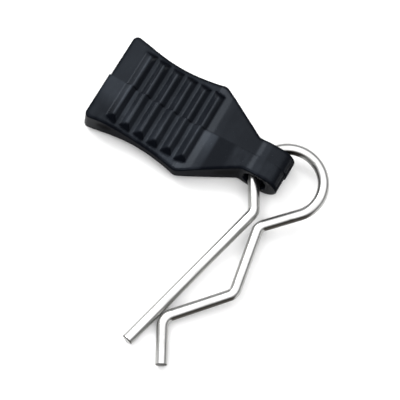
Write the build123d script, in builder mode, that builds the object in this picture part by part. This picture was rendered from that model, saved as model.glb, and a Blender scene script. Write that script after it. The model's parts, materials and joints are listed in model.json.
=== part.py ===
"""R clip with a pull tab: a spring-wire retaining clip and the moulded rubber tab that swings on its loop.

The clip lies as it would be put down, with the tips of its legs and the underside of the tab on Z = 0.
The origin is on that surface, under the straight leg and abreast of the pocket that grips a post.  X runs
along the straight leg from its tip to the loop, the tab hangs off to +Y, and Z is up.  Millimetres.
"""

from build123d import *

import os
from math import asin, atan2, cos, degrees, hypot, pi, radians, sin, sqrt, tan

# Spring wire.  Its places are given in its own plane, from the tip of the straight leg.
wire_diameter = 1.5
tip_chamfer = 0.12  # burr taken off both cut ends
bend_radius = 1.4  # all radii are on the wire's centre line
heel_reach = 22.6  # straight leg, up to where it bends away to the loop
loop_radius = 4.5
loop_centre = (29.2, -0.46)
throat_reach = 22.07
throat_gap = 0.4  # between the legs, where the loop closes
pocket_reach = 13.68
pocket_depth = 5.32  # the bow that hugs a post, from the straight leg's centre line
lip_reach = 5.43
lip_radius = 1.7
lip_gap = 0.05  # between the legs, where the wavy one comes back
lead_in = (0.72, -5.22)  # tip of the wavy leg, turned out to ride over the post

# Pull tab.  A reach is measured along it from the eye's axis towards the far end.
eye_radius = 1.5
eye_bias = 0.22  # the eye is pushed this far along the tab from its middling place on the wire
eye_bearing = 100.6  # where the eye sits on the loop, from X
eye_mouth = 0.2  # chamfer round both ends of the eye
tab_heading = 104.3  # direction of the tab, from X
knuckle_radius = 2.25
knuckle_width = 4.94
nose_offset = 1.02  # the nose is round about a line this far beyond the eye's axis
tab_reach = 22.75
plate_length = 2.2
plate_thickness = 3.52
scoop_reach = 15.6  # where the slope down from the plate would meet the waist
scoop_bend = 2.4  # length of the bend there, to each side
waist_reach = 10.0
waist_thickness = 1.56
step_run = 2.4
step_thickness = 2.66  # at the top of the step that ends the waist
collar_reach = 1.6
collar_depth = 0.22  # below the knuckle, each side
knuckle_edge = 0.7
neck_blend = 2.0
side_hollow_reach = 16.4  # narrowest place of the grip
side_hollow_width = 11.98
side_hollow_radius = 29.3
shoulder_reach = 9.2
taper_slope = 31.9  # of each side, between the shoulder and the knuckle
corner_blend = 0.7
shoulder_blend = 1.3
taper_blend = 1.0
rim_blend = 0.2
mould_shift = 0.18  # the two halves of the mould don't quite line up

# Grip ribs, the same on both faces: a long ramp, a rounded crest and a steep side that faces the eye.
rib_count = 6
rib_pitch = 2.02
first_crest = 3.35  # from the far end
rib_height = 0.8
rib_ramp = 0.95
rib_drop = 0.65
rib_blend = 0.25
rib_crest = 9.4  # length of the crest, across the tab
rib_end_slope = 41.0  # lean of the rib's ends
rib_root = 0.15  # the ribs reach this far into the tab's body

# Derived sizes.
wire_radius = wire_diameter / 2
knuckle_half = knuckle_width / 2
plate_half = plate_thickness / 2
waist_half = waist_thickness / 2
sagitta = loop_radius - sqrt(loop_radius**2 - knuckle_half**2)
eye_distance = loop_radius - sagitta / 2 - eye_bias
blank_reach = tab_reach + plate_length  # the blank is cut to length by the outline
plate_slope = atan2(plate_half - waist_half, tab_reach - plate_length - scoop_reach)
scoop_radius = scoop_bend / tan(plate_slope / 2)
root_stretch = 1 + rib_root / rib_height


# Face of the tab, as reach and height above the middle plane, and the blend at each bend of it.
face_points = [
    (blank_reach, plate_half),
    (tab_reach - plate_length, plate_half),
    (scoop_reach, waist_half),
    (waist_reach, waist_half),
    (waist_reach - step_run, step_thickness / 2),
    (collar_reach, knuckle_radius - collar_depth),
    (knuckle_edge, knuckle_radius),
    (-nose_offset, knuckle_radius),
]
face_blends = [0, scoop_radius, neck_blend, neck_blend, neck_blend, neck_blend]
face_line = FilletPolyline(*face_points, radius=face_blends)


def face_height(reach):
    """Height of the tab's faces above its middle plane, at this reach and outside the ribs."""
    return face_line.intersect(Line((reach, 0), (reach, blank_reach)))[0].Y


def rib_corners(rib):
    """Root of the ramp, crest and root of the steep side of one rib, counted from the far end."""
    reach = tab_reach - first_crest - rib_pitch * rib
    crest = Vector(reach, face_height(reach) + rib_height)
    feet = [Vector(reach + run, face_height(reach + run)) for run in (rib_ramp, -rib_drop)]
    ramp_root, drop_root = [crest + (foot - crest) * root_stretch for foot in feet]
    return ramp_root, crest, drop_root


# Resting pose.  The tab droops from its knuckle until the first rib's rounded crest touches down,
# and the wire leans from the tip of the straight leg up to the eye.
ramp_root, crest, drop_root = rib_corners(0)
ramp, drop = (ramp_root - crest).normalized(), (drop_root - crest).normalized()
stance = crest + (ramp + drop) * (rib_blend / ramp.cross(drop).length) - Vector(knuckle_edge, knuckle_radius)
droop = -asin(rib_blend / stance.length) - atan2(stance.Y, stance.X)
eye_height = knuckle_radius * cos(droop) + (knuckle_edge + mould_shift / 2) * sin(droop)
eye_place = Vector(*loop_centre) + Vector(eye_distance, 0).rotate(Axis.Z, eye_bearing)
lever = eye_place.X - tip_chamfer
tilt = asin(eye_height / hypot(lever, wire_radius)) - atan2(wire_radius, lever)
clip_plane = Plane(
    origin=(-pocket_reach * cos(tilt), 0, wire_radius * cos(tilt) - tip_chamfer * sin(tilt)),
    x_dir=(cos(tilt), 0, sin(tilt)),
    z_dir=(-sin(tilt), 0, cos(tilt)),
)
across = Vector(0, -1).rotate(Axis.Z, tab_heading)
along = Vector(cos(droop), 0, -sin(droop)).rotate(Axis.Z, tab_heading)
tab_side = Plane(clip_plane.from_local_coords(eye_place), x_dir=along, z_dir=across)
tab_flat = Plane(tab_side.origin, x_dir=along, z_dir=tab_side.y_dir)
tab_end = Plane(tab_side.origin, x_dir=-across, z_dir=along)

# wire_clip -----------------------------------------------------------------------------------------
# The wire is bent round pegs, taken in turn: centre, radius, and +1 where it turns left or -1 right.
pegs = [
    ((0, 0), 0, 1),
    ((heel_reach, bend_radius), bend_radius, 1),
    (loop_centre, loop_radius, -1),
    ((throat_reach, -wire_diameter - throat_gap - bend_radius), bend_radius, 1),
    ((pocket_reach, bend_radius - pocket_depth), bend_radius, -1),
    ((lip_reach, -wire_diameter - lip_gap - lip_radius), lip_radius, 1),
    (lead_in, 0, 1),
]


def run_between(peg, next_peg):
    """Heading and length of the straight wire that leaves one peg and meets the next."""
    (x, y), radius, side = peg
    (next_x, next_y), next_radius, next_side = next_peg
    span = hypot(next_x - x, next_y - y)
    swing = asin((next_side * next_radius - side * radius) / span)
    return atan2(next_y - y, next_x - x) - swing, span * cos(swing)


runs = [run_between(*pair) for pair in zip(pegs, pegs[1:])]

with BuildPart() as wire_clip:
    with BuildLine(clip_plane) as wire_path:
        heading, length = runs[0]
        wire = PolarLine((0, 0), length, degrees(heading))
        for (_, radius, side), (next_heading, length) in zip(pegs[1:], runs[1:]):
            turn = side * ((next_heading - heading) * side % (2 * pi))
            wire = JernArc(wire @ 1, wire % 1, radius, degrees(turn))
            wire = PolarLine(wire @ 1, length, degrees(next_heading))
            heading = next_heading
    with BuildSketch(Plane(wire_path.line @ 0, z_dir=wire_path.line % 0)):
        Circle(wire_radius)
    sweep(path=wire_path.wire())
    chamfer(wire_clip.faces().filter_by(GeomType.PLANE).edges(), tip_chamfer)
wire_clip.part.label = "wire_clip"

# pull_tab ------------------------------------------------------------------------------------------
# Half of the tab is drawn, to one side of the plane where the mould parts.
hollow_centre = side_hollow_width / 2 + side_hollow_radius
nose_reach = -nose_offset - knuckle_radius
rib_half = rib_crest / 2
mouth_radius = eye_radius + eye_mouth
eye_profile = [
    (0, knuckle_half),
    (mouth_radius, knuckle_half),
    (eye_radius, knuckle_half - eye_mouth),
    (eye_radius, eye_mouth - knuckle_half),
    (mouth_radius, -knuckle_half),
    (0, -knuckle_half),
]


def side_of_grip(reach):
    """Half of the tab's width at this reach, along the hollow sides of the grip."""
    return hollow_centre - sqrt(side_hollow_radius**2 - (reach - side_hollow_reach) ** 2)


def is_side(face):
    """Whether this is a wall along the tab's outline, other than the nose and the parting plane."""
    normal = face.normal_at()
    return abs(normal.dot(tab_flat.z_dir)) < 0.001 and normal.dot(along * 0.8 - across) > 0


def is_upright(edge):
    """Whether this edge runs from face to face of the tab."""
    return abs((edge % 0.5).dot(tab_flat.z_dir)) > 0.999


shoulder_half = side_of_grip(shoulder_reach)
taper_end = shoulder_reach - (shoulder_half - knuckle_half) / tan(radians(taper_slope))
corners = [
    (tab_reach, side_of_grip(tab_reach), corner_blend),
    (shoulder_reach, shoulder_half, shoulder_blend),
    (taper_end, knuckle_half, taper_blend),
]
with BuildPart() as half_tab:
    with BuildSketch(tab_side):
        with BuildLine():
            face = FilletPolyline(*face_points, radius=face_blends)
            nose = RadiusArc(face @ 1, (nose_reach, 0), -knuckle_radius)
            Polyline(nose @ 1, (blank_reach, 0), face @ 0)
        make_face()
        mirror(about=Plane.XZ)
    extrude(amount=-shoulder_half)
    with BuildSketch(tab_flat) as plan_view:
        with BuildLine():
            end = Polyline((-blank_reach, 0), (tab_reach, 0), (tab_reach, side_of_grip(tab_reach)))
            grip = RadiusArc(end @ 1, (shoulder_reach, shoulder_half), side_hollow_radius)
            Polyline(grip @ 1, (taper_end, knuckle_half), (-blank_reach, knuckle_half), (-blank_reach, 0))
        make_face()
        for reach, half, blend in corners:
            fillet(plan_view.vertices().sort_by_distance((reach, half))[0], blend)
    extrude(amount=knuckle_radius, both=True, mode=Mode.INTERSECT)
    rims = half_tab.faces().filter_by(is_side).edges().filter_by(is_upright, reverse=True)
    fillet(rims, rim_blend)

with BuildPart() as half_ribs:
    for rib in range(rib_count):
        ramp_root, crest, drop_root = rib_corners(rib)
        rib_depth = crest.Y - min(ramp_root.Y, drop_root.Y)
        root_half = rib_half + rib_depth * tan(radians(rib_end_slope))
        with BuildSketch(tab_side):
            with BuildLine():
                FilletPolyline(ramp_root, crest, drop_root, radius=rib_blend)
                Line(drop_root, ramp_root)
            make_face()
        extrude(amount=-root_half)
        with BuildSketch(tab_end.offset(drop_root.X)):
            Polygon((rib_half, crest.Y), (root_half, crest.Y), (root_half, crest.Y - rib_depth), align=None)
        extrude(amount=ramp_root.X - drop_root.X, mode=Mode.SUBTRACT)
    mirror(about=tab_flat)

with BuildPart() as pull_tab:
    add(half_tab.part.translate(along * mould_shift / 2))
    add(half_ribs.part.translate(along * mould_shift / 2))
    add(half_tab.part.mirror(tab_side).translate(along * -mould_shift / 2))
    add(half_ribs.part.mirror(tab_side).translate(along * -mould_shift / 2))
    with BuildSketch(tab_flat):
        Polygon(*eye_profile, align=None)
    revolve(axis=Axis(tab_side.origin, across), mode=Mode.SUBTRACT)
pull_tab.part.label = "pull_tab"

os.makedirs("parts", exist_ok=True)
export_step(wire_clip.part, "parts/wire_clip.step")
export_step(pull_tab.part, "parts/pull_tab.step")
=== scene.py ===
"""Dresses an R clip: a bent spring wire and the moulded rubber tab that swings on its loop."""

import json
import logging
from dataclasses import dataclass
from enum import Enum
from math import asin, atan2, ceil, cos, degrees, exp, hypot, pi, radians, sin
from typing import Iterator

import bmesh
import bpy
from mathutils import Matrix, Vector


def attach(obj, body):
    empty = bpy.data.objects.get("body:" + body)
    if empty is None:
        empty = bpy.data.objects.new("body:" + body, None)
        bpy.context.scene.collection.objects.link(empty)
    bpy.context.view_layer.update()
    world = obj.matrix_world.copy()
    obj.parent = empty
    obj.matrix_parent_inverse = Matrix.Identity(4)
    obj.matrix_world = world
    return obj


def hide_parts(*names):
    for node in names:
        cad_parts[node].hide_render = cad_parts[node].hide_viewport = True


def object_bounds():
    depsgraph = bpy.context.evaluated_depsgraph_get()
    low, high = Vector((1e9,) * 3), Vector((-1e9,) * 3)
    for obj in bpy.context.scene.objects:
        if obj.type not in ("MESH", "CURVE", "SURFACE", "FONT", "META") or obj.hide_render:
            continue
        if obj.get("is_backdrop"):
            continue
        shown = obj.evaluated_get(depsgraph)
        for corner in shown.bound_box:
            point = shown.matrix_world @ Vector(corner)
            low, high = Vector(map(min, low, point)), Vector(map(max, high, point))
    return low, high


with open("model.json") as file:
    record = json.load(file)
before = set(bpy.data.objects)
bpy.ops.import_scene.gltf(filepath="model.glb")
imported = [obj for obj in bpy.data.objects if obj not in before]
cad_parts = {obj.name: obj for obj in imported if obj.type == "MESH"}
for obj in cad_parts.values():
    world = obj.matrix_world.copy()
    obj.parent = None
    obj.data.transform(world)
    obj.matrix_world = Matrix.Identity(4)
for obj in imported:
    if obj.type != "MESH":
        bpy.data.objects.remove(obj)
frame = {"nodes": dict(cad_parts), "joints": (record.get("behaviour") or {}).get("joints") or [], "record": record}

log = logging.getLogger("r_clip")

MILLIMETRE = 0.001
RIGHT_ANGLE = 90.0
UPRIGHT = Vector((0, 0, 1))

# Red, green, blue and opacity.
Colour = tuple[float, float, float, float]

# Where a smooth change begins and ends and, unless it goes from none to one, what it begins and ends as.
Ramp = tuple[float, ...]


class Node(Enum):
    """Shader nodes that the finishes are made of."""

    MATHS = "ShaderNodeMath"
    MIX = "ShaderNodeMix"
    PLACE = "ShaderNodeTexCoord"
    STRETCH = "ShaderNodeMapping"
    SPLIT = "ShaderNodeSeparateXYZ"
    NOISE = "ShaderNodeTexNoise"
    RANGE = "ShaderNodeMapRange"
    BUMP = "ShaderNodeBump"
    SOFTEN = "ShaderNodeBevel"
    TURN = "ShaderNodeVectorTransform"
    SKIN = "ShaderNodeBsdfPrincipled"
    BLEND = "ShaderNodeMixShader"
    SURFACE = "ShaderNodeOutputMaterial"
    SKY = "ShaderNodeBackground"
    SKY_SURFACE = "ShaderNodeOutputWorld"


class Sum(Enum):
    """Sums that a Math node does."""

    PLUS = "ADD"
    MINUS = "SUBTRACT"
    TIMES = "MULTIPLY"
    WRAP = "FLOORED_MODULO"
    SIZE = "ABSOLUTE"


class Guide(Enum):
    """What a place on a surface can be told by."""

    FORM = "Object"
    WIRE = "UV"
    FACING = "Normal"
    SKY = "Generated"


class Stock(Enum):
    """Material slots that the record gives to the part's stock."""

    STEEL = "spring_steel"
    RUBBER = "tab_rubber"


class Body(Enum):
    """Bodies that the pieces move with."""

    CLIP = "clip"
    TAB = "tab"


@dataclass(frozen=True)
class Signal:
    """A value on its way through a shader, which takes part in sums as a number does.

    Attributes:
        bench: Where its node stands.
        socket: The output that it leaves the node by.
    """

    bench: "Bench"
    socket: bpy.types.NodeSocket

    def _sum(self, kind: Sum, first: "Signal | float", second: "Signal | float") -> "Signal":
        """Add one Math node.

        Args:
            kind: The sum that the node does.
            first: The left value or signal.
            second: The right value or signal.

        Returns:
            The signal that leaves the node.
        """
        return self.bench.signal(Node.MATHS, {"operation": kind.value}, {0: first, 1: second})

    def __add__(self, other: "Signal | float") -> "Signal":
        """Add a value."""
        return self._sum(Sum.PLUS, self, other)

    def __radd__(self, other: "Signal | float") -> "Signal":
        """Add this to a value."""
        return self._sum(Sum.PLUS, other, self)

    def __sub__(self, other: "Signal | float") -> "Signal":
        """Take a value away."""
        return self._sum(Sum.MINUS, self, other)

    def __rsub__(self, other: "Signal | float") -> "Signal":
        """Take this away from a value."""
        return self._sum(Sum.MINUS, other, self)

    def __mul__(self, other: "Signal | float") -> "Signal":
        """Multiply by a value."""
        return self._sum(Sum.TIMES, self, other)

    def __rmul__(self, other: "Signal | float") -> "Signal":
        """Multiply a value by this."""
        return self._sum(Sum.TIMES, other, self)

    def __mod__(self, other: float) -> "Signal":
        """Wrap this at a number."""
        return self._sum(Sum.WRAP, self, other)

    def __abs__(self) -> "Signal":
        """Drop the sign."""
        return self._sum(Sum.SIZE, self, 0.0)

    def eased(self, low: float, high: float, start: float = 0.0, end: float = 1.0) -> "Signal":
        """Turn a range of this value smoothly into another and hold its ends.

        Args:
            low: The value that gives the start.
            high: The value that gives the end, which may be the lower of the two.
            start: What the low value becomes.
            end: What the high value becomes.

        Returns:
            The new value.
        """
        feeds = {"Value": self, "From Min": low, "From Max": high, "To Min": start, "To Max": end}
        return self.bench.signal(Node.RANGE, {"interpolation_type": "SMOOTHSTEP"}, feeds)

    def parts(self) -> list["Signal"]:
        """Take a place or a direction apart."""
        return [Signal(self.bench, part) for part in self.bench.add(Node.SPLIT, feeds={0: self}).outputs]


class Bench:
    """Lays out the nodes of one material or of the world."""

    soften_samples: int = 8

    def __init__(self, tree: bpy.types.NodeTree) -> None:
        """Start on an empty tree.

        Args:
            tree: The node tree to fill.
        """
        self.tree = tree
        tree.nodes.clear()

    def add(self, kind: Node, settings: dict | None = None, feeds: dict | None = None) -> bpy.types.Node:
        """Add a node, set it up and connect it.

        Args:
            kind: The node's type.
            settings: The node's own settings, which are made first.
            feeds: The value or signal of each input, by name or place.

        Returns:
            The new node.
        """
        node = self.tree.nodes.new(kind.value)
        for name, value in (settings or {}).items():
            setattr(node, name, value)
        for name, value in (feeds or {}).items():
            if isinstance(value, Signal):
                self.tree.links.new(value.socket, node.inputs[name])
            else:
                node.inputs[name].default_value = value
        return node

    def signal(
        self, kind: Node, settings: dict | None = None, feeds: dict | None = None, leaves: str | int = 0
    ) -> Signal:
        """Add a node and take one of its outputs.

        Args:
            kind: The node's type.
            settings: The node's own settings.
            feeds: The value or signal of each input.
            leaves: The output that is wanted, by name or place.

        Returns:
            The signal that leaves the node.
        """
        return Signal(self, self.add(kind, settings, feeds).outputs[leaves])

    def place(
        self,
        guide: Guide,
        stretch: tuple[float, float, float] = (1, 1, 1),
        bearing: float = 0.0,
        origin: tuple[float, float, float] = (0, 0, 0),
    ) -> Signal:
        """Take a place on the surface, seen along a bearing and from a point.

        Args:
            guide: What the place is told by.
            stretch: The scale of each direction, after the turn.
            bearing: The bearing of the new first direction, in degrees.
            origin: The point that becomes nought.

        Returns:
            The turned, moved and stretched place.
        """
        turn = -radians(bearing)
        feeds = {
            "Vector": self.signal(Node.PLACE, leaves=guide.value),
            "Rotation": (0, 0, turn),
            "Location": -(Matrix.Rotation(turn, 3, "Z") @ Vector(origin)),
        }
        turned = self.signal(Node.STRETCH, feeds=feeds)
        return self.signal(Node.STRETCH, feeds={"Vector": turned, "Scale": stretch})

    def soften(self, radius: float) -> Signal:
        """Give the way that the surface faces, with its edges rounded off.

        Args:
            radius: How far the rounding reaches, in metres.

        Returns:
            The rounded normal.
        """
        return self.signal(Node.SOFTEN, {"samples": self.soften_samples}, {"Radius": radius})

    def facing(self, normal: Signal) -> list[Signal]:
        """Take a normal apart in the piece's own directions.

        Args:
            normal: The normal, in the room's directions.

        Returns:
            Its three parts.
        """
        settings = {"vector_type": "NORMAL", "convert_from": "WORLD", "convert_to": "OBJECT"}
        return self.signal(Node.TURN, settings, {"Vector": normal}).parts()

    def tint(self, share: Signal, first: Signal | Colour, second: Signal | Colour) -> Signal:
        """Mix two colours.

        Args:
            share: How much of the second colour shows.
            first: The colour or signal at none.
            second: The colour or signal at all.

        Returns:
            The mixed colour.
        """
        settings = {"data_type": "RGBA"}
        return self.signal(Node.MIX, settings, {0: share, 6: first, 7: second}, leaves=2)


def shade(red: float, green: float, blue: float) -> Colour:
    """Give a colour its full opacity."""
    return (red, green, blue, 1.0)


def sighted(first: Signal, second: Signal, angle: float) -> Signal:
    """Measure a direction along a line at an angle.

    Args:
        first: The direction's part at no angle.
        second: Its part at a right angle.
        angle: The line's angle, in degrees.

    Returns:
        How far the direction goes along the line.
    """
    return first * cos(radians(angle)) + second * sin(radians(angle))


@dataclass(frozen=True)
class Grain:
    """A random pattern on a surface, and what it does where it is strongest.

    Attributes:
        lumps: Lumps in a metre along each direction.
        octaves: Octaves of finer lumps.
        fineness: Strength of the finer lumps.
        shows: The values between which marks come up, if the pattern is one of marks.
        dulls: What it adds to the haziness of the rubber and to the dulling of the metal.
        roughens: What it adds to the roughness.
        raises: What it adds to the relief, in depths of the relief.
    """

    lumps: tuple[float, float, float]
    octaves: float = 3.0
    fineness: float = 0.5
    shows: Ramp = ()
    dulls: float = 0.0
    roughens: float = 0.0
    raises: float = 0.0

    def lay(self, bench: Bench, guide: Guide = Guide.FORM, bearing: float = 0.0) -> Signal:
        """Lay the pattern on a surface.

        Args:
            bench: Where the nodes go.
            guide: What the pattern follows.
            bearing: The bearing of its first direction, in degrees.

        Returns:
            A value near one half, give or take a quarter, or from none to one where only marks show.
        """
        feeds = {
            "Vector": bench.place(guide, self.lumps, bearing),
            "Scale": 1.0,
            "Detail": self.octaves,
            "Roughness": self.fineness,
        }
        pattern = bench.signal(Node.NOISE, feeds=feeds)
        return pattern.eased(*self.shows) if self.shows else pattern


@dataclass(frozen=True)
class Stretch:
    """A stretch along a surface.

    Attributes:
        start: Where it starts.
        end: Where it ends.
        fade: Length of the fade beyond each end.
        strength: How strong it is between its ends.
    """

    start: float
    end: float
    fade: float = 0.5
    strength: float = 1.0

    def mark(self, along: Signal) -> Signal:
        """Mark the stretch.

        Args:
            along: Distance along the surface.

        Returns:
            The strength within the stretch, and none beyond its fades.
        """
        rising = along.eased(self.start - self.fade, self.start)
        return rising * along.eased(self.end + self.fade, self.end) * self.strength


@dataclass(frozen=True)
class DimpleShade:
    """A soft oval of painted shade on a wall of the tab, shaped as a shallow dent that the moulding doesn't have.
    Millimetres.

    Attributes:
        reach: The dimple's distance along the tab, from the middle of the eye.
        rise: Its height above that middle.
        length: Half its length.
        height: Half its height.
        edge: Where the shade starts and is full, as the square of the distance in half sizes.
    """

    reach: float
    rise: float
    length: float
    height: float
    edge: Ramp = (2.2, 0.2)

    def mark(self, reach: Signal, rise: Signal) -> Signal:
        """Mark the painted shade.

        Args:
            reach: Distance along the tab.
            rise: Height above the eye's middle.

        Returns:
            One in the middle of the shade, and none outside.
        """
        along = (reach - self.reach) * (1 / self.length)
        up = (rise - self.rise) * (1 / self.height)
        return (along * along + up * up).eased(*self.edge)


@dataclass(frozen=True)
class Finish:
    """What every finish has: a name, and the values that are the same all over the surface.

    Attributes:
        name: The material's name.
        metallic: One for bare metal, and none for anything else.
        index: The index of refraction.
        gloss: How strongly the surface mirrors when seen squarely.
        sheen: The colour of that mirroring.
        depth: The relief's depth, in metres.
        strength: How much of the relief shows.
    """

    name: str
    metallic: float = 0.0
    index: float = 1.5
    gloss: float = 0.5
    sheen: Colour = shade(1, 1, 1)
    depth: float = 0.0
    strength: float = 0.5

    def material(self) -> bpy.types.Material:
        """Make the material.

        Returns:
            The finished material.
        """
        material = bpy.data.materials.new(self.name)
        material.use_nodes = True
        bench = Bench(material.node_tree)
        bench.add(Node.SURFACE, feeds={"Surface": self.surface(bench)})
        return material

    def skin(self, bench: Bench, gloss: float, feeds: dict) -> Signal:
        """Make one skin of the surface.

        Args:
            bench: Where the nodes go.
            gloss: How strongly it mirrors when seen squarely.
            feeds: The signals of what changes over the surface, by socket.

        Returns:
            The skin.
        """
        even = {
            "Metallic": self.metallic,
            "IOR": self.index,
            "Specular IOR Level": gloss,
            "Specular Tint": self.sheen,
        }
        return bench.signal(Node.SKIN, feeds=even | feeds)

    def relief(self, bench: Bench, height: Signal, base: Signal | None = None) -> Signal:
        """Turn a height into the way that the surface faces.

        Args:
            bench: Where the nodes go.
            height: The height, in depths of the relief.
            base: The normal that the relief stands on, if it isn't the surface's own.

        Returns:
            The new normal.
        """
        feeds = {"Strength": self.strength, "Distance": self.depth, "Height": height}
        if base is not None:
            feeds["Normal"] = base
        return bench.signal(Node.BUMP, feeds=feeds)

    def surface(self, bench: Bench) -> Signal:
        """Draw the surface.

        Args:
            bench: Where the nodes go.

        Returns:
            The skin, or a blend of skins.
        """
        raise NotImplementedError


@dataclass(frozen=True)
class DrawnSteel(Finish):
    """Bright spring wire with fine lines from the drawing die, grey painted shade along its sides and dark painted
    shade on one side.

    Attributes:
        length: The wire's length, in metres.
        bright: The metal where it is clean.
        dull: The metal where it is worn, which is also the grey of the painted shade along the sides.
        scale: The colour of the dark painted shade on one side of the wire and of the dark rims at its ends.
        polish: The roughness of the clean metal.
        lines: Lines from the drawing die.
        scuffs: Scuffs along the wire.
        cloud: Soft clouds in the metal, which also make the edge of the painted shade uneven.
        pits: Small pits.
        drawn: The lines and clouds together, where the metal starts to be dull and is dullest.
        edge_shade_rise: How squarely the metal faces up where the painted shade along the sides starts and is
            full.
        edge_shade_drift: How far the clouds move the edge of that painted shade.
        edge_shade_rough: The roughness added where that painted shade is.
        shade_bearing: The bearing that the side with the dark painted shade faces, in degrees.
        shade_facing: How squarely the metal faces that way where the dark painted shade starts and is full.
        shade_aside: How far it faces aside from it where the dark painted shade starts and is full.
        shade_drift: How far the clouds move the edge of the dark painted shade.
        shade_climb: How much further up the grey painted shade reaches over the dark one.
        burr: Distances from the wire's ends where their dark rims start and are full, in metres.
    """

    metallic: float = 1.0
    depth: float = 0.0025 * MILLIMETRE
    strength: float = 0.35
    length: float = 1.0
    bright: Colour = shade(0.56, 0.56, 0.56)
    dull: Colour = shade(0.38, 0.38, 0.37)
    # The colour of the dark painted shade on one side of the wire, also used for the dark rims at its ends.
    scale: Colour = shade(0.040, 0.036, 0.031)
    polish: float = 0.18
    lines: Grain = Grain((9000, 120, 1), 4, 0.6, dulls=0.6, raises=1.0)
    scuffs: Grain = Grain((900, 260, 1), 5, 0.65, shows=(0.58, 0.72), dulls=0.4, roughens=0.14, raises=-0.8)
    cloud: Grain = Grain((420, 420, 420), 4, 0.6, roughens=0.08)
    pits: Grain = Grain((5200, 5200, 5200), 2, shows=(0.70, 0.78), roughens=0.12, raises=-1.5)
    drawn: Ramp = (0.85, 1.25)
    edge_shade_rise: Ramp = (0.96, 0.74)
    edge_shade_drift: float = 0.12
    edge_shade_rough: float = 0.1
    shade_bearing: float = -134.4
    shade_facing: Ramp = (0.45, 0.80)
    shade_aside: Ramp = (0.55, 0.35)
    shade_drift: float = 0.1
    shade_climb: float = 0.10
    burr: Ramp = (0.20 * MILLIMETRE, 0.04 * MILLIMETRE)

    def shaded_side(self, east: Signal, north: Signal, cloud: Signal) -> Signal:
        """Mark the side of the wire that is painted dark, as shade.

        Args:
            east: The first part of the way that the metal faces.
            north: Its second part.
            cloud: The clouds, which make the painted shade's edge uneven.

        Returns:
            One where the painted shade is full.
        """
        facing = sighted(east, north, self.shade_bearing) + cloud * self.shade_drift
        aside = abs(sighted(east, north, self.shade_bearing - RIGHT_ANGLE))
        return facing.eased(*self.shade_facing) * aside.eased(*self.shade_aside)

    def surface(self, bench: Bench) -> Signal:
        """Draw the wire's surface, whose map runs round the wire and then along it, in metres.

        Args:
            bench: Where the nodes go.

        Returns:
            The steel.
        """
        lines, scuffs = self.lines.lay(bench, Guide.WIRE), self.scuffs.lay(bench, Guide.WIRE)
        cloud, pits = self.cloud.lay(bench), self.pits.lay(bench)
        east, north, up = bench.place(Guide.FACING).parts()
        # Dark painted shade on the side of the wire that faces one bearing.
        shaded_side = self.shaded_side(east, north, cloud)
        # Grey painted shade along the sides of the wire, where it faces away from straight up.
        edge_shade = (up + cloud * self.edge_shade_drift - shaded_side * self.shade_climb).eased(*self.edge_shade_rise)
        _, run, _ = bench.place(Guide.WIRE).parts()
        burr = run.eased(*self.burr) + (self.length - run).eased(*self.burr)
        worn = (lines + cloud).eased(*self.drawn) * self.lines.dulls + scuffs * self.scuffs.dulls
        steel = bench.tint(worn, self.bright, self.dull)
        rough = cloud * self.cloud.roughens + scuffs * self.scuffs.roughens + pits * self.pits.roughens
        height = lines * self.lines.raises + scuffs * self.scuffs.raises + pits * self.pits.raises
        # The metal turns grey under the painted shade along its sides, and dark under the painted shade on one
        # side and at the rims of its ends.
        feeds = {
            "Base Color": bench.tint(edge_shade, steel, bench.tint(shaded_side + burr, self.dull, self.scale)),
            "Roughness": self.polish + rough + edge_shade * self.edge_shade_rough,
            "Normal": self.relief(bench, height),
        }
        return self.skin(bench, self.gloss, feeds)


@dataclass(frozen=True)
class TabPoint:
    """A point on the tab's surface.

    Attributes:
        offset: Distance to the side of the eye's middle, in millimetres.
        reach: Distance from it along the tab.
        rise: Height above it.
        normal: The way that the surface faces, with its edges worn round.
        level: How squarely it faces up or down.
        outward: How squarely it faces to either side, over the width of a rim.
        endward: How squarely it faces away from the eye at the tab's end, over the width of a rim.
        worn: One on the more worn half of the tab, which is painted lighter, and none on the other.
    """

    offset: Signal
    reach: Signal
    rise: Signal
    normal: Signal
    level: Signal
    outward: Signal
    endward: Signal
    worn: Signal

    def by_half(self, kept: float, worn: float) -> Signal:
        """Give one value on the tab's better kept half and another on its more worn one."""
        return kept + self.worn * (worn - kept)


@dataclass(frozen=True)
class Rims:
    """The dark rims of the tab's faces.

    Attributes:
        facing: How squarely the surface faces aside where its rim starts and is full.
        side: Where the rims start and are full, to either side of the middle.
        end_span: How far past the middle the end's own rim runs on.
    """

    facing: Ramp = (0.015, 0.12)
    side: Ramp = (0.5, 1.3)
    end_span: float = 9.0

    def mark(self, point: TabPoint) -> Signal:
        """Mark the rims.

        Args:
            point: The point of the surface.

        Returns:
            One on a rim.
        """
        turned = (point.outward + point.endward).eased(*self.facing)
        return turned * (abs(point.offset) + point.endward * self.end_span).eased(*self.side)


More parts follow.
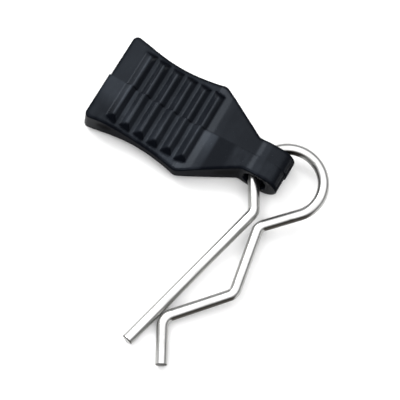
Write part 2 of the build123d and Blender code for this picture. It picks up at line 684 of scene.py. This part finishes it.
@dataclass(frozen=True)
class HazeAndLight:
    """The haziness on the tab's faces and ribs, with painted highlights and painted light.

    Distances are in millimetres from the middle of the eye.
    A level is how squarely the surface faces up or down.

    Attributes:
        cloud: The clouds that make the faces hazy, and how much.
        level: The levels where the faces' haziness and painted light start and are full.
        plate_light: Painted light on the flat at the tab's end.
        plate_light_side: Where that painted light starts and is full, across the tab.
        step: The stretch of the painted highlight on the step between the neck and the ribs.
        step_highlight_even: That painted highlight all over the step.
        step_highlight_side: The added painted highlight on the more worn half of the step, which is painted
            lighter, across the tab.
        crown_highlight: The painted highlight on the rounded top over the eye.
        grip: The hazy stretch of the ribs.
        grip_level: The levels where the ribs' haziness starts and is full.
        grip_share: The ribs' haziness on the better kept half and on the more worn one, which is painted lighter.
        grip_cloud: How the clouds change it.
    """

    cloud: Ramp = (0.42, 0.62, 0.0, 0.45)
    level: Ramp = (0.72, 0.88)
    plate_light: Stretch = Stretch(18.8, 24.0, strength=1.1)
    plate_light_side: Ramp = (-5.0, -1.5)
    step: Stretch = Stretch(6.9, 8.4)
    step_highlight_even: float = 0.35
    step_highlight_side: Ramp = (-5.0, -1.0, 0.0, 0.95)
    crown_highlight: Stretch = Stretch(0.3, 1.2, strength=0.25)
    grip: Stretch = Stretch(9.0, 19.6)
    grip_level: Ramp = (0.35, 0.65)
    grip_share: tuple[float, float] = (0.26, 0.42)
    grip_cloud: Ramp = (0.42, 0.62, 0.7, 1.2)

    def on_faces(self, point: TabPoint, light_and_wear: Signal, cloud: Signal, darker_neck: Signal) -> Signal:
        """Lay the haziness, the painted highlights and the painted light on the faces.

        Args:
            point: The point of the surface.
            light_and_wear: The share of painted light and wearing on this half of the tab.
            cloud: The clouds in the rubber.
            darker_neck: One on the darker stretch of the neck, which loses its clouds.

        Returns:
            The haziness with the painted light.
        """
        # Painted light on the end flat, and painted highlights on the step and on the rounded top over the eye.
        plate_light = self.plate_light.mark(point.reach) * point.offset.eased(*self.plate_light_side)
        step = self.step_highlight_even + point.worn * point.offset.eased(*self.step_highlight_side)
        haze_and_light = cloud.eased(*self.cloud) * (1 - darker_neck) + plate_light + self.step.mark(point.reach) * step
        return (haze_and_light * light_and_wear + self.crown_highlight.mark(point.reach)) * point.level.eased(*self.level)

    def on_ribs(self, point: TabPoint, cloud: Signal, rim: Signal) -> Signal:
        """Lay the haziness on the ribs.

        Args:
            point: The point of the surface.
            cloud: The clouds in the rubber.
            rim: One on a rim, which has no haze.

        Returns:
            The haziness.
        """
        grip = self.grip.mark(point.reach) * point.level.eased(*self.grip_level)
        return grip * point.by_half(*self.grip_share) * (1 - rim) * cloud.eased(*self.grip_cloud)


@dataclass(frozen=True)
class Scores:
    """Fine scores, one along each rib.

    Attributes:
        ribs: The stretch from the first score to the last, in millimetres from the middle of the eye.
        pitch: The distance from rib to rib, in millimetres.
        line: Where a score is, in shares of the pitch.
        depth: The scores' depth, in depths of the relief.
    """

    ribs: Stretch = Stretch(9.3, 19.4)
    pitch: float = 2.02
    line: Stretch = Stretch(0.15, 0.17, fade=0.04)
    depth: float = 9.0

    def mark(self, point: TabPoint) -> Signal:
        """Mark the scores.

        Args:
            point: The point of the surface.

        Returns:
            How deep the surface is scored.
        """
        turn = ((point.reach - self.ribs.start) * (1 / self.pitch)) % 1.0
        return self.line.mark(turn) * self.ribs.mark(point.reach) * self.depth


@dataclass(frozen=True)
class Polish:
    """The polish that the mould left on the tab.

    Distances are in millimetres from the middle of the eye.
    A level is how squarely the surface faces up or down.

    Attributes:
        level: The levels where the faces' polish starts and is full.
        darker_neck: How much polish is lost on the darker stretch of the neck.
        wall_level: The levels where the walls' polish starts and is full.
        far_corner: The polish of the walls at the tab's end.
        near_corner: The polish of the walls at the eye.
    """

    level: Ramp = (0.40, 0.62)
    darker_neck: float = 0.4
    wall_level: Ramp = (0.22, 0.04)
    far_corner: Ramp = (19.6, 21.6, 0.10, 0.32)
    near_corner: Ramp = (2.4, 1.2, 0.0, 0.34)

    def mark(self, point: TabPoint, darker_neck: Signal, rim: Signal, shades: Signal) -> Signal:
        """Mark the polished surface.

        Args:
            point: The point of the surface.
            darker_neck: One on the darker stretch of the neck.
            rim: One on a rim, which has no polish.
            shades: The painted dimple shades, which have none either.

        Returns:
            One where the polish is full.
        """
        faces = point.level.eased(*self.level) * (1 - rim) * (1 - darker_neck * self.darker_neck)
        corners = point.reach.eased(*self.far_corner) + point.reach.eased(*self.near_corner)
        return faces + point.level.eased(*self.wall_level) * corners * (1 - shades)


@dataclass(frozen=True)
class MouldedRubber(Finish):
    """Black rubber from a mould with polished faces and matt walls, with a little haziness and dust, painted
    highlights, one half painted lighter, a darker stretch on the neck and soft ovals of painted shade on one wall.

    Attributes:
        eye: The middle of the tab's eye, in metres.
        across: The direction across the tab, along the pin that its eye turns on.
        black: The clean rubber.
        hazed_and_lit: The rubber under its full haziness, which is also the colour of the painted highlights and
            painted light.
        shadow: The colour of the painted shade in the dimple ovals.
        satin: The roughness of the faces.
        wall_gloss: How strongly the walls mirror when seen squarely.
        wall_rough: The roughness of the walls.
        edge_wear: How far the edges are worn round, in metres.
        rim_width: Width of the dark rims of the faces, in metres.
        grain: The grain of the mould.
        flow: Clouds that the rubber took as it filled the mould.
        smears: Smears across the tab.
        cuts: Fine cuts across the tab.
        dust: Specks of dust.
        seam: Where the more worn half starts and is full, in millimetres from the middle.
        light_and_wear: The share of painted light and wearing on the better kept half and on the more worn one.
        darker_neck: The stretch of the neck that is darker on the more worn half, in millimetres from the middle
            of the eye.
        end_block: Where the tab's end starts and is full, in millimetres from the middle of the eye.
        dimple_shades: Ovals of painted shade in the wall of the worn half, where the moulding has no dents.
        dimple_level: How squarely the wall faces up or down where their shades start, and how dark they are.
        rims: The dark rims.
        haze_and_light: The haziness, with the painted highlights and painted light.
        scores: The scores along the ribs.
        polish: The polish.
    """

    gloss: float = 0.115
    sheen: Colour = shade(0.80, 0.89, 1.0)
    depth: float = 0.006 * MILLIMETRE
    eye: tuple[float, float, float] = (0.0, 0.0, 0.0)
    across: tuple[float, float, float] = (1.0, 0.0, 0.0)
    black: Colour = shade(0.0024, 0.0030, 0.0046)
    hazed_and_lit: Colour = shade(0.0230, 0.0270, 0.0340)
    shadow: Colour = shade(0.0004, 0.0004, 0.0005)
    satin: float = 0.13
    wall_gloss: float = 0.006
    wall_rough: float = 0.45
    edge_wear: float = 0.28 * MILLIMETRE
    rim_width: float = 0.60 * MILLIMETRE
    grain: Grain = Grain((9000, 9000, 9000), 3, 0.6, roughens=0.1, raises=0.7)
    flow: Grain = Grain((260, 260, 600), 4, 0.6, dulls=0.6, roughens=0.10)
    smears: Grain = Grain((260, 900, 900), 5, 0.62, dulls=0.4, roughens=0.08, raises=0.8)
    cuts: Grain = Grain((240, 5200, 5200), 3, raises=0.8)
    dust: Grain = Grain((4200, 4200, 4200), 2, 0.4, shows=(0.71, 0.76), dulls=0.3, roughens=0.2, raises=0.7)
    seam: Ramp = (0.15, -0.15)
    light_and_wear: tuple[float, float] = (0.2, 0.5)
    darker_neck: Stretch = Stretch(4.6, 6.5, fade=0.9)
    end_block: Ramp = (21.0, 22.0)
    dimple_shades: tuple[DimpleShade, ...] = (DimpleShade(20.0, 0.35, 0.95, 0.60), DimpleShade(3.8, 0.25, 1.30, 0.70))
    dimple_level: Ramp = (0.3, 0.2, 0.0, 0.75)
    rims: Rims = Rims()
    haze_and_light: HazeAndLight = HazeAndLight()
    scores: Scores = Scores()
    polish: Polish = Polish()

    def bearing(self) -> float:
        """Give the bearing of the direction across the tab, in degrees."""
        return degrees(atan2(self.across[1], self.across[0]))

    def point(self, bench: Bench) -> TabPoint:
        """Tell where a point of the surface is and which way it faces.

        Args:
            bench: Where the nodes go.

        Returns:
            The point.
        """
        bearing, scale = self.bearing(), 1 / MILLIMETRE
        offset, reach, rise = bench.place(Guide.FORM, (scale, scale, scale), bearing, self.eye).parts()
        soft = bench.soften(self.edge_wear)
        _, _, up = bench.facing(soft)
        east, north, _ = bench.facing(bench.soften(self.rim_width))
        outward = abs(sighted(east, north, bearing))
        endward = sighted(east, north, bearing + RIGHT_ANGLE) * reach.eased(*self.end_block)
        return TabPoint(offset, reach, rise, soft, abs(up), outward, endward, offset.eased(*self.seam))

    def shades(self, point: TabPoint) -> Signal:
        """Mark the painted shades of the dimple ovals.

        Args:
            point: The point of the surface.

        Returns:
            How dark the shade is.
        """
        shades = sum(dimple.mark(point.reach, point.rise) for dimple in self.dimple_shades)
        return shades * point.worn * point.level.eased(*self.dimple_level)

    def surface(self, bench: Bench) -> Signal:
        """Draw the tab's surface.

        Args:
            bench: Where the nodes go.

        Returns:
            The polished and the matt skin, blended.
        """
        grain, flow, dust = self.grain.lay(bench), self.flow.lay(bench), self.dust.lay(bench)
        smears = self.smears.lay(bench, bearing=self.bearing())
        cuts = self.cuts.lay(bench, bearing=self.bearing())
        point = self.point(bench)
        # The more worn half is also painted lighter, with more haziness on its faces and ribs.
        light_and_wear, rim, shades = point.by_half(*self.light_and_wear), self.rims.mark(point), self.shades(point)
        # A stretch of the neck on the more worn half is darker, with no clouds and less polish.
        darker_neck = self.darker_neck.mark(point.reach) * point.worn
        cloud = flow * self.flow.dulls + smears * self.smears.dulls
        # Clouds and dust make the faces hazy, and the painted highlights and painted light are laid in with them.
        haze_and_light = self.haze_and_light.on_faces(point, light_and_wear, cloud, darker_neck) + self.haze_and_light.on_ribs(point, cloud, rim)
        haze_and_light = haze_and_light + dust * self.dust.dulls
        height = grain * self.grain.raises + smears * self.smears.raises + dust * self.dust.raises
        height = height + (cuts * self.cuts.raises - self.scores.mark(point)) * light_and_wear
        # Base colour: the black rubber, lighter under haziness and painted light, and near black in the painted
        # dimple shades.
        tone = {
            "Base Color": bench.tint(shades, bench.tint(haze_and_light, self.black, self.hazed_and_lit), self.shadow),
            "Normal": self.relief(bench, height, point.normal),
        }
        satin = self.satin + flow * self.flow.roughens + smears * self.smears.roughens
        face = self.skin(bench, self.gloss, tone | {"Roughness": satin + dust * self.dust.roughens})
        matt = self.wall_rough + grain * self.grain.roughens
        wall = self.skin(bench, self.wall_gloss, tone | {"Roughness": matt})
        polished = self.polish.mark(point, darker_neck, rim, shades)
        return bench.signal(Node.BLEND, feeds={0: polished, 1: wall, 2: face})


@dataclass(frozen=True)
class PaleSweep(Finish):
    """Plain pale paper under the part.

    Attributes:
        paper: The paper.
        pulp: Its slightly darker fibres.
        fibres: The pattern of the fibres.
        rough: The roughness of the paper between them.
    """

    gloss: float = 0.1
    paper: Colour = shade(0.90, 0.90, 0.90)
    pulp: Colour = shade(0.88, 0.88, 0.88)
    fibres: Grain = Grain((900, 900, 900), 3, roughens=0.1)
    rough: float = 0.8

    def surface(self, bench: Bench) -> Signal:
        """Draw the paper.

        Args:
            bench: Where the nodes go.

        Returns:
            The paper.
        """
        fibres = self.fibres.lay(bench)
        feeds = {
            "Base Color": bench.tint(fibres, self.paper, self.pulp),
            "Roughness": self.rough + fibres * self.fibres.roughens,
        }
        return self.skin(bench, self.gloss, feeds)


def keep_mesh(name: str, form: bmesh.types.BMesh, material: bpy.types.Material) -> bpy.types.Object:
    """Turn a finished form into an object of the scene.

    Args:
        name: The piece's name.
        form: The form, which is used up.
        material: The finish of the whole piece.

    Returns:
        The new piece.
    """
    mesh = bpy.data.meshes.new(name)
    form.to_mesh(mesh)
    form.free()
    mesh.materials.append(material)
    piece = bpy.data.objects.new(name, mesh)
    bpy.context.scene.collection.objects.link(piece)
    return piece


def course(heading: float) -> Vector:
    """Give the direction of a heading in radians."""
    return Vector((cos(heading), sin(heading), 0))


def shares(length: float, step: float) -> list[float]:
    """Divide a length into even steps and give the share of it where each one starts."""
    count = ceil(length / step)
    return [index / count for index in range(count)]


@dataclass(frozen=True)
class Station:
    """A place on the wire's centre line, in the wire's own plane.  Millimetres.

    Attributes:
        reach: Distance along the wire.
        place: The place.
        course: The direction of travel.
    """

    reach: float
    place: Vector
    course: Vector

    def moved(self, distance: float) -> "Station":
        """Go further along the wire where it is straight."""
        return Station(self.reach + distance, self.place + self.course * distance, self.course)


@dataclass(frozen=True)
class Ring:
    """A ring of points round the wire.

    Attributes:
        reach: The ring's distance along the wire.
        points: Its points, in their order round the wire.
    """

    reach: float
    points: list[bmesh.types.BMVert]


@dataclass(frozen=True)
class Peg:
    """A peg that the wire is bent round, in the wire's own plane.  Millimetres.

    Attributes:
        x: The peg's distance along the straight leg, from its tip.
        y: Its distance to the left of that leg.
        radius: Radius of the wire's centre line round the peg, or none at an end of the wire.
        side: One where the wire turns left, and minus one where it turns right.
    """

    x: float
    y: float
    radius: float
    side: int

    def edge(self, heading: float) -> Vector:
        """Give the place where the wire passes the peg on a heading in radians."""
        spoke = Vector((sin(heading), -cos(heading), 0)) * self.side * self.radius
        return Vector((self.x, self.y, 0)) + spoke

    def turn(self, heading: float, next_heading: float) -> float:
        """Give the wire's turn round the peg from one heading to the next, in radians."""
        return self.side * ((next_heading - heading) * self.side % (2 * pi))

    def run_to(self, other: "Peg") -> tuple[float, float]:
        """Lay the wire straight from this peg to the next.

        Args:
            other: The next peg.

        Returns:
            The heading of the run in radians, and its length.
        """
        span = hypot(other.x - self.x, other.y - self.y)
        swing = asin((other.side * other.radius - self.side * self.radius) / span)
        return atan2(other.y - self.y, other.x - self.x) - swing, span * cos(swing)


@dataclass(frozen=True)
class Mark:
    """A shallow dent that the bending tool left in the wire.  Millimetres.

    Attributes:
        reach: The dent's distance along the wire.
        around: Its angle round the wire, in radians.
        depth: Its depth.
        length: Half its length along the wire.
        spread: Half its angle round the wire, in radians.
    """

    reach: float
    around: float
    depth: float
    length: float
    spread: float

    def depth_at(self, reach: float, around: float) -> float:
        """Give the dent's depth at a place on the wire.

        Args:
            reach: Distance along the wire.
            around: Angle round the wire, in radians.

        Returns:
            How far the surface is pressed in.
        """
        off = (around - self.around + pi) % (2 * pi) - pi
        return self.depth * exp(-(((reach - self.reach) / self.length) ** 2) - (off / self.spread) ** 2)


@dataclass
class SpringWire:
    """The wire from the straight leg's tip, round the loop and down the wavy leg.  Millimetres.

    Attributes:
        diameter: The wire's diameter.
        tip_chamfer: The chamfer at each tip.
        pegs: The pegs that the wire is bent round, from tip to tip.
        tip_mount: The part's mount at the tip of the straight leg.
        around: How many points there are round the wire.
        step: Distance between rings in a bend, at most.
        long_step: Distance between rings in a straight run, at most.
        marks: The bending tool's dents.
    """

    diameter: float = 1.5
    tip_chamfer: float = 0.12
    pegs: tuple[Peg, ...] = (
        Peg(0, 0, 0, 1),
        Peg(22.6, 1.4, 1.4, 1),
        Peg(29.2, -0.46, 4.5, -1),
        Peg(22.07, -3.3, 1.4, 1),
        Peg(13.68, -3.92, 1.4, -1),
        Peg(5.43, -3.25, 1.7, 1),
        Peg(0.72, -5.22, 0, 1),
    )
    tip_mount: str = "straight_leg"
    around: int = 48
    step: float = 0.14
    long_step: float = 0.25
    marks: tuple[Mark, ...] = (
        Mark(38.4, 2.2, 0.06, 0.22, 0.45),
        Mark(39.1, 2.6, 0.03, 0.30, 0.35),
        Mark(48.45, 0.7, 0.035, 0.18, 0.5),
        Mark(19.9, 2.4, 0.02, 0.5, 0.4),
        Mark(60.9, 2.4, 0.02, 0.5, 0.4),
    )

    def stations(self) -> Iterator[Station]:
        """Walk along the wire's centre line.

        Yields:
            Each station, from the straight leg's tip to the wavy leg's tip.
        """
        runs = [first.run_to(second) for first, second in zip(self.pegs, self.pegs[1:])]
        heading = runs[0][0]
        station = Station(0.0, Vector((0, 0, 0)), course(heading))
        for peg, (next_heading, length) in zip(self.pegs, runs):
            if peg.radius:
                turn = peg.turn(heading, next_heading)
                arc = abs(turn) * peg.radius
                for share in shares(arc, self.step):
                    bearing = heading + turn * share
                    yield Station(station.reach + arc * share, peg.edge(bearing), course(bearing))
                station = Station(station.reach + arc, peg.edge(next_heading), course(next_heading))
            heading = next_heading
            for share in shares(length, self.long_step):
                yield station.moved(length * share)
            station = station.moved(length)
        yield station

    def length(self) -> float:
        """Measure the wire along its centre line."""
        return max(station.reach for station in self.stations())

    def seat(self) -> Matrix:
        """Give the place of the wire's own plane, whose origin is the tip of the straight leg."""
        mount = next(mount for mount in frame["record"]["mounts"] if mount["name"] == self.tip_mount)
        run = -Vector(mount["axis"])
        tip = Vector(mount["pos_m"]) / MILLIMETRE
        return Matrix.Translation(tip) @ Matrix.Rotation(-atan2(run.z, run.x), 4, "Y")

    def ring(self, form: bmesh.types.BMesh, seat: Matrix, station: Station, trim: float = 0.0) -> Ring:
        """Draw one ring of points round the wire, pressed in where a dent is.

        Args:
            form: The form that is drawn.
            seat: The place of the wire's own plane.
            station: Where the ring is.
            trim: How much smaller than the wire it is.

        Returns:
            The ring.
        """
        radius = self.diameter / 2 - trim
        left = Vector((-station.course.y, station.course.x, 0))
        points = []
        for index in range(self.around):
            angle = 2 * pi * index / self.around
            depth = sum(mark.depth_at(station.reach, angle) for mark in self.marks)
            spoke = left * cos(angle) + UPRIGHT * sin(angle)
            points.append(form.verts.new(seat @ (station.place + spoke * (radius - depth)) * MILLIMETRE))
        return Ring(station.reach, points)

    def rings(self, form: bmesh.types.BMesh) -> list[Ring]:
        """Draw the rings of the wire's skin, with a chamfer at each tip.

        Args:
            form: The form that is drawn.

        Returns:
            The rings, from tip to tip.
        """
        seat, trim = self.seat(), self.tip_chamfer
        first, *inner, last = self.stations()
        rings = [self.ring(form, seat, first, trim), self.ring(form, seat, first.moved(trim))]
        rings += [self.ring(form, seat, station) for station in inner]
        return rings + [self.ring(form, seat, last.moved(-trim)), self.ring(form, seat, last, trim)]

    def join(self, form: bmesh.types.BMesh, near: Ring, far: Ring) -> None:
        """Join two rings with a band of faces and lay the map on it.

        Args:
            form: The form that is drawn.
            near: The ring that is nearer to the straight leg's tip.
            far: The next ring.
        """
        chart = form.loops.layers.uv.active
        arc = pi * self.diameter / self.around
        for index in range(self.around):
            corners = ((near, index), (far, index), (far, index + 1), (near, index + 1))
            face = form.faces.new([ring.points[turn % self.around] for ring, turn in corners])
            face.smooth = True
            for loop, (ring, turn) in zip(face.loops, corners):
                loop[chart].uv = (arc * turn * MILLIMETRE, ring.reach * MILLIMETRE)

    @staticmethod
    def cap(form: bmesh.types.BMesh, points: list[bmesh.types.BMVert]) -> None:
        """Close a tip with a flat face and lay the map on it.

        Args:
            form: The form that is drawn.
            points: The points of the tip's ring, in the order of the face's corners.
        """
        chart = form.loops.layers.uv.active
        face = form.faces.new(points)
        for loop, vertex in zip(face.loops, face.verts):
            loop[chart].uv = (vertex.co.y, vertex.co.z)

    @staticmethod
    def sharpen(form: bmesh.types.BMesh, ring: Ring) -> None:
        """Make the edge along a ring a sharp one.

        Args:
            form: The form that is drawn.
            ring: The ring.
        """
        for first, second in zip(ring.points, ring.points[1:] + ring.points[:1]):
            form.edges.get((first, second)).smooth = False

    def build(self, material: bpy.types.Material) -> bpy.types.Object:
        """Draw the wire as one tube with trimmed ends and a map in metres.

        Args:
            material: The wire's finish.

        Returns:
            The wire, riding on the clip.
        """
        form = bmesh.new()
        form.loops.layers.uv.new("chart")
        rings = self.rings(form)
        for near, far in zip(rings, rings[1:]):
            self.join(form, near, far)
        self.cap(form, rings[0].points)
        self.cap(form, rings[-1].points[::-1])
        for ring in (*rings[:2], *rings[-2:]):
            self.sharpen(form, ring)
        bmesh.ops.recalc_face_normals(form, faces=form.faces)
        wire = keep_mesh("spring_wire", form, material)
        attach(wire, Body.CLIP.value)
        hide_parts("wire_clip")
        return wire


@dataclass
class PullTab:
    """The rubber tab, whose form comes whole from its mould.

    Attributes:
        node: The tab's name in the frame.
    """

    node: str = "pull_tab"

    def dress(self, material: bpy.types.Material) -> bpy.types.Object:
        """Give the moulding its finish.

        Args:
            material: The tab's finish.

        Returns:
            The moulding.
        """
        moulding = frame["nodes"][self.node]
        moulding.data.materials.clear()
        moulding.data.materials.append(material)
        return moulding


@dataclass
class Studio:
    """Pale sweep, soft light and camera.

    Attributes:
        floor_size: The sweep's side, in metres.
        floor_tiles: How many faces it has along each side.
        aim: The point of the ground that the camera looks at, in metres.
        azimuth: The bearing of the camera from there, in degrees.
        elevation: The camera's height above the ground, in degrees.
        roll: The camera's turn about its own line of sight, in degrees.
        distance: The camera's distance from its aim, in metres.
        lens: The lens, in millimetres.
        sensor: The sensor's width, in millimetres.
        clip: The nearest and the farthest that the camera sees, in metres.
        zenith: The light from straight above.
        horizon: The light from low down on the open side.
        dark: The light from low down everywhere else.
        open_bearing: The bearing of the open side, in degrees.
        open_side: How squarely a direction points there where the opening starts and is full.
        roof: How squarely a direction points up where the light starts to rise and is the zenith's.
        key: The added light of a bright patch.
        key_bearing: The bearing of the patch, in degrees.
        key_rise: Its height, in degrees.
        key_edge: How squarely a direction points at the patch where it starts and is full.
    """

    floor_size: float = 6.0
    floor_tiles: int = 8
    aim: tuple[float, float] = (0.0063693, 0.0062453)
    azimuth: float = -155.598
    elevation: float = 70.0
    roll: float = 20.0
    distance: float = 0.2048
    lens: float = 144.0
    sensor: float = 36.0
    clip: tuple[float, float] = (0.001, 10.0)
    zenith: float = 2.2
    horizon: float = 0.9
    dark: float = 0.34
    open_bearing: float = 112.0
    open_side: Ramp = (0.45, 0.9)
    roof: Ramp = (0.44, 0.90)
    key: float = 8.0
    key_bearing: float = 84.0
    key_rise: float = 43.0
    key_edge: Ramp = (0.940, 0.972)

    def lay_floor(self, material: bpy.types.Material) -> bpy.types.Object:
        """Lay the paper under the part.

        Args:
            material: The paper's finish.

        Returns:
            The floor, which isn't part of the object.
        """
        form = bmesh.new()
        tiles, half = self.floor_tiles, self.floor_size / 2
        bmesh.ops.create_grid(form, x_segments=tiles, y_segments=tiles, size=half)
        low = min(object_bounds()[0][2], 0.0)
        bmesh.ops.translate(form, verts=form.verts, vec=(0, 0, low))
        floor = keep_mesh("sweep", form, material)
        floor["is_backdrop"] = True
        return floor

    def light(self) -> None:
        """Hang a bright tent over the part, with one open side low down and one brighter patch."""
        world = bpy.data.worlds.new("tent")
        bpy.context.scene.world = world
        world.use_nodes = True
        bench = Bench(world.node_tree)
        east, north, up = bench.place(Guide.SKY).parts()
        low = sighted(east, north, self.open_bearing).eased(*self.open_side, self.dark, self.horizon)
        level = sighted(east, north, self.key_bearing)
        patch = sighted(level, up, self.key_rise).eased(*self.key_edge) * self.key
        glow = low + (self.zenith - low) * up.eased(*self.roof) + patch
        sky = bench.signal(Node.SKY, feeds={"Color": shade(1, 1, 1), "Strength": glow})
        bench.add(Node.SKY_SURFACE, feeds={"Surface": sky})

    def set_camera(self) -> bpy.types.Object:
        """Stand the camera over the part.

        Returns:
            The camera.
        """
        turn, rise, roll = radians(self.azimuth), radians(self.elevation), radians(self.roll)
        back = Vector((cos(rise) * cos(turn), cos(rise) * sin(turn), sin(rise)))
        level = UPRIGHT.cross(back).normalized()
        right = level * cos(roll) + back.cross(level) * sin(roll)
        axes = Matrix((right, back.cross(right), back)).transposed()
        data = bpy.data.cameras.new("view")
        data.lens, data.sensor_width = self.lens, self.sensor
        data.clip_start, data.clip_end = self.clip
        camera = bpy.data.objects.new("view", data)
        place = Vector((*self.aim, 0)) + back * self.distance
        camera.matrix_world = Matrix.Translation(place) @ axes.to_4x4()
        bpy.context.scene.collection.objects.link(camera)
        bpy.context.scene.camera = camera
        return camera


def note_piece(piece: bpy.types.Object, body: Body, stock: Stock) -> None:
    """Report a finished piece.

    Args:
        piece: The piece.
        body: The body that it moves with.
        stock: The stock that it is made of.
    """
    faces = len(piece.data.polygons)
    log.info("%s of %s, on the %s body, %d faces", piece.name, stock.value, body.value, faces)


def main() -> None:
    """Build each sub-assembly in order and measure the part's bounds before and after dressing it."""
    logging.basicConfig(level=logging.INFO, format="%(name)s: %(message)s")
    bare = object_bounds()
    studio = Studio()
    camera = studio.set_camera()
    log.info("camera %s", camera.name)
    spring = SpringWire()
    steel = DrawnSteel("drawn_steel", length=spring.length() * MILLIMETRE)
    note_piece(spring.build(steel.material()), Body.CLIP, Stock.STEEL)
    hinge = frame["joints"][0]
    rubber = MouldedRubber("moulded_rubber", eye=hinge["pos_m"], across=hinge["axis"])
    note_piece(PullTab().dress(rubber.material()), Body.TAB, Stock.RUBBER)
    floor = studio.lay_floor(PaleSweep("pale_sweep").material())
    studio.light()
    bpy.context.scene.view_settings.view_transform = "Standard"
    log.info("%s and tent", floor.name)
    boxes = {"cad": bare, "visual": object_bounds()}
    sizes = {name: [list(corner) for corner in box] for name, box in boxes.items()}


if __name__ == "__main__":
    main()
